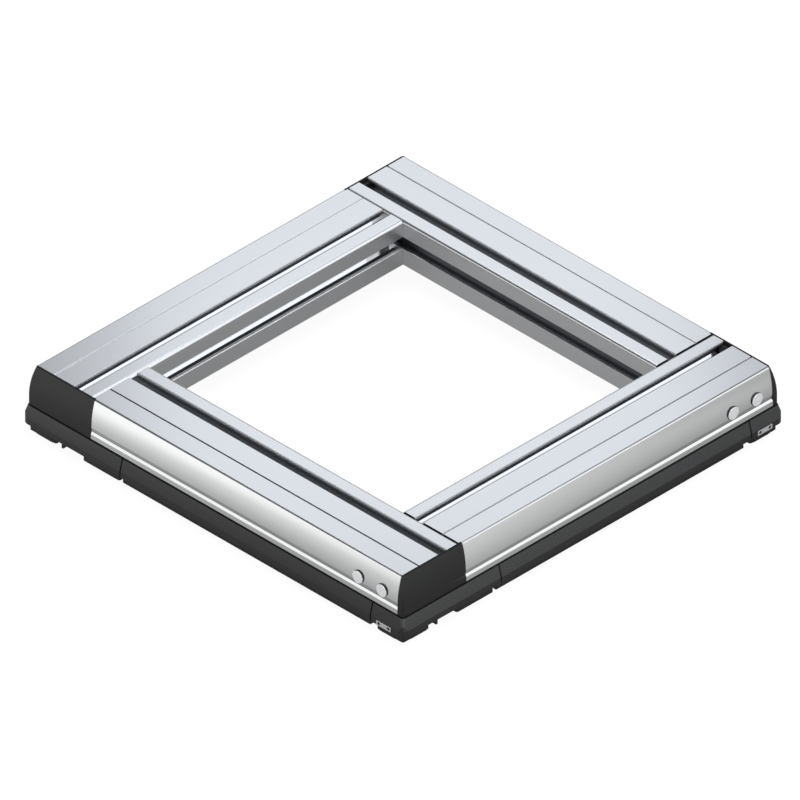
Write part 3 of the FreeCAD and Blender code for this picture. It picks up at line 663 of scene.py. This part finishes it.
class CarrierStage(Operator):
    """Set the table, the sky, the lamps and the camera"""
    bl_idname = "carrier.stage"
    bl_label = "Set Studio"

    def execute(self, context):
        studio = context.scene.carrier_studio
        scene = context.scene
        scene.view_settings.view_transform = "Standard"
        self.table(scene, studio)
        self.sky(scene, studio)
        self.lamps(scene, studio)
        self.camera(scene, studio)
        return {"FINISHED"}

    def table(self, scene, studio):
        """Disc on z = 0 in rings and spokes."""
        spokes = np.linspace(0.0, 2.0 * np.pi, TABLE_SPOKES + 1)[:-1]
        x = np.outer(TABLE_RINGS, np.cos(spokes)).ravel()
        y = np.outer(TABLE_RINGS, np.sin(spokes)).ravel()
        points = np.vstack([[0.0, 0.0, 0.0], np.column_stack([x, y, np.zeros_like(x)])])
        count = TABLE_SPOKES
        here = np.arange(count)
        beside = (here + 1) % count
        fan = np.column_stack([np.zeros(count, int), here + 1, beside + 1])
        low = 1 + np.arange(len(TABLE_RINGS) - 1)[:, None] * count
        quads = np.stack([low + here, low + count + here, low + count + beside,
                          low + beside], 2)
        faces = fan.tolist() + quads.reshape(-1, 4).tolist()
        mesh = bpy.data.meshes.new("table")
        mesh.from_pydata(points.tolist(), [], faces)
        mesh.update()
        item = bpy.data.objects.new("table", mesh)
        scene.collection.objects.link(item)
        mesh.materials.append(self.table_material(studio))
        item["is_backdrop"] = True

    def table_material(self, studio):
        """A table with painted shade that pales away from the object's outline, and painted
        light that darkens from left to right, as mirrors and bounced light see it. The camera
        sees it white, with the object's shadow kept."""
        material = bpy.data.materials.new("table_finish")
        tree = emptied_tree(material)
        out = add(tree, "ShaderNodeOutputMaterial")
        x, y, _ = object_axes(tree)
        away = square_reach(tree, x, y)
        rightwards = both(tree, maths(tree, "ADD", x, y), math.sqrt(0.5))
        # painted shade near the object times painted light that falls off to the right
        tones = add(tree, "ShaderNodeMix", data_type="RGBA", blend_type="MULTIPLY")
        tones.inputs["Factor"].default_value = 1.0
        tree.links.new(tone_curve(tree, away, AWAY_SPAN, AWAY_SHADE_TONES), tones.inputs[6])
        tree.links.new(tone_curve(tree, rightwards, RIGHTWARD_SPAN, RIGHTWARD_FALLOFF_TONES),
                       tones.inputs[7])
        floor = mix_colours(tree, remap(tree, away, TABLE_WHITE, (0.0, 1.0)),
                            tones.outputs[2], WHITE)
        bounced = add(tree, "ShaderNodeBsdfDiffuse")
        tree.links.new(floor, bounced.inputs["Color"])
        path = add(tree, "ShaderNodeLightPath")
        by_camera = path.outputs["Is Camera Ray"]
        shade = add(tree, "ShaderNodeBsdfDiffuse")
        shade.inputs["Color"].default_value = grey(studio.shadow)
        glow = add(tree, "ShaderNodeEmission")
        glow.inputs["Strength"].default_value = studio.backdrop
        tree.links.new(mix_colours(tree, by_camera, floor, WHITE), glow.inputs["Color"])
        lit = add(tree, "ShaderNodeAddShader")
        tree.links.new(shade.outputs["BSDF"], lit.inputs[0])
        tree.links.new(glow.outputs["Emission"], lit.inputs[1])
        seen = either(tree, by_camera, either(tree, path.outputs["Is Glossy Ray"],
                                              path.outputs["Is Transmission Ray"]))
        tree.links.new(mix_shaders(tree, seen, bounced.outputs["BSDF"],
                                   lit.outputs["Shader"]), out.inputs["Surface"])
        return material

    def sky(self, scene, studio):
        """Soft sky with a bright panel at the rear right, a wide one on the
        camera's side, a dark flag at the front left and a dark screen low at
        the rear left.  The camera sees plain white, and so do mirrors near the
        horizon, away from the screen."""
        world = bpy.data.worlds.new("studio_sky")
        tree = emptied_tree(world)
        out = add(tree, "ShaderNodeOutputWorld")
        where = add(tree, "ShaderNodeTexCoord")
        direction = where.outputs["Generated"]
        parts = add(tree, "ShaderNodeSeparateXYZ")
        tree.links.new(direction, parts.inputs["Vector"])
        height = parts.outputs["Z"]
        glow = remap(tree, height, SKY_RISE, (studio.sky_level, studio.high_level))
        for axis, start, full, strength in (
                ((1, 1, 1), 32, 8, studio.bright_level),
                ((-1, -1, 1), 32, 8, -studio.flag_level),
                ((1, -1, 0.75), 65, 40, studio.front_level)):
            glow = maths(tree, "ADD", glow,
                         lobe(tree, direction, axis, start, full, strength))
        screen = lobe(tree, direction, axis=(-1, 1, 0.25), start=50, full=25,
                      strength=studio.screen_level)
        past_screen = maths(tree, "SUBTRACT", 1.0, screen)
        light = add(tree, "ShaderNodeBackground")
        light.inputs["Color"].default_value = tuple(studio.sky)
        tree.links.new(both(tree, glow, past_screen), light.inputs["Strength"])
        white = add(tree, "ShaderNodeBackground")
        white.inputs["Color"].default_value = WHITE
        white.inputs["Strength"].default_value = 1.0
        path = add(tree, "ShaderNodeLightPath")
        mirrored = either(tree, path.outputs["Is Glossy Ray"],
                          path.outputs["Is Transmission Ray"])
        horizon = remap(tree, height, HORIZON_FADE, (0.0, 1.0), "SMOOTHSTEP")
        seen = either(tree, path.outputs["Is Camera Ray"],
                      both(tree, both(tree, mirrored, past_screen), horizon))
        tree.links.new(mix_shaders(tree, seen, light.outputs["Background"],
                                   white.outputs["Background"]), out.inputs["Surface"])
        scene.world = world

    def lamps(self, scene, studio):
        """One softbox overhead, and one behind on the left for the top faces,
        which has a brighter core and a small addition at its near end."""
        softbox(scene, "overhead_softbox", place=(0.0, 0.0, 2.0), aim=(0.0, 0.0, 0.0),
                size=(2.0, 2.0), power=studio.overhead_power)
        tint = tuple(studio.sky)[:3]
        softbox(scene, "rear_left_softbox", place=(-0.58, 0.61, 0.71),
                aim=(-0.581, 0.611, 0.0), size=(0.64, 1.35), power=studio.panel_power,
                tint=tint)
        softbox(scene, "rear_left_core", place=(-0.745, 0.775, 0.72),
                aim=(-0.746, 0.776, 0.0), size=(0.44, 0.85), power=studio.core_power,
                tint=tint)
        softbox(scene, "rear_left_near_end", place=(-0.46, 0.12, 0.70),
                aim=(-0.461, 0.121, 0.0), size=(0.36, 0.30), power=studio.near_power,
                tint=tint)

    def camera(self, scene, studio):
        """Parallel view, shifted so that the top face lies as in the photo."""
        turn, rise = studio.azimuth, studio.elevation
        back = Vector((math.sin(turn) * math.cos(rise), -math.cos(turn) * math.cos(rise),
                       math.sin(rise)))
        right = Vector((math.cos(turn), math.sin(turn), 0.0))
        up = back.cross(right)
        pixel = studio.view_width / PICTURE_PIXELS
        rightwards, upwards = TOP_CENTRE_PIXELS
        centre = Vector((0.0, 0.0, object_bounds()[1][2]))
        aim = centre - right * (rightwards * pixel) - up * (upwards * pixel)
        lens = bpy.data.cameras.new("photo_camera")
        lens.type = "ORTHO"
        lens.ortho_scale = studio.view_width
        lens.clip_start, lens.clip_end = CAMERA_CLIP
        item = bpy.data.objects.new("photo_camera", lens)
        axes = Matrix((right, up, back)).transposed().to_4x4()
        item.matrix_world = Matrix.Translation(aim + back * CAMERA_DISTANCE) @ axes
        scene.collection.objects.link(item)
        scene.camera = item


class CarrierPanel(Panel):
    """Lists the carrier's operators and their values"""
    bl_idname = "VIEW3D_PT_carrier"
    bl_label = "Workpiece Carrier"
    bl_space_type = "VIEW_3D"
    bl_region_type = "UI"
    bl_category = "Carrier"

    def draw(self, context):
        column = self.layout.column()
        for operator in STEPS:
            column.operator(operator.bl_idname)
        for group in (context.scene.carrier_finish, context.scene.carrier_studio):
            for name in group.bl_rna.properties.keys():
                if name not in ("rna_type", "name"):
                    column.prop(group, name)


STEPS = (CarrierProfiles, CarrierCaps, CarrierBase, CarrierMetal, CarrierStage)
CLASSES = (CarrierFinish, CarrierStudio) + STEPS + (CarrierPanel,)


def register():
    for item in CLASSES:
        bpy.utils.register_class(item)
    bpy.types.Scene.carrier_finish = PointerProperty(type=CarrierFinish)
    bpy.types.Scene.carrier_studio = PointerProperty(type=CarrierStudio)


def unregister():
    del bpy.types.Scene.carrier_studio
    del bpy.types.Scene.carrier_finish
    for item in reversed(CLASSES):
        bpy.utils.unregister_class(item)


def main():
    register()
    for step in STEPS:
        group, name = step.bl_idname.split(".")
        getattr(getattr(bpy.ops, group), name)()


if __name__ == "__main__":
    main()
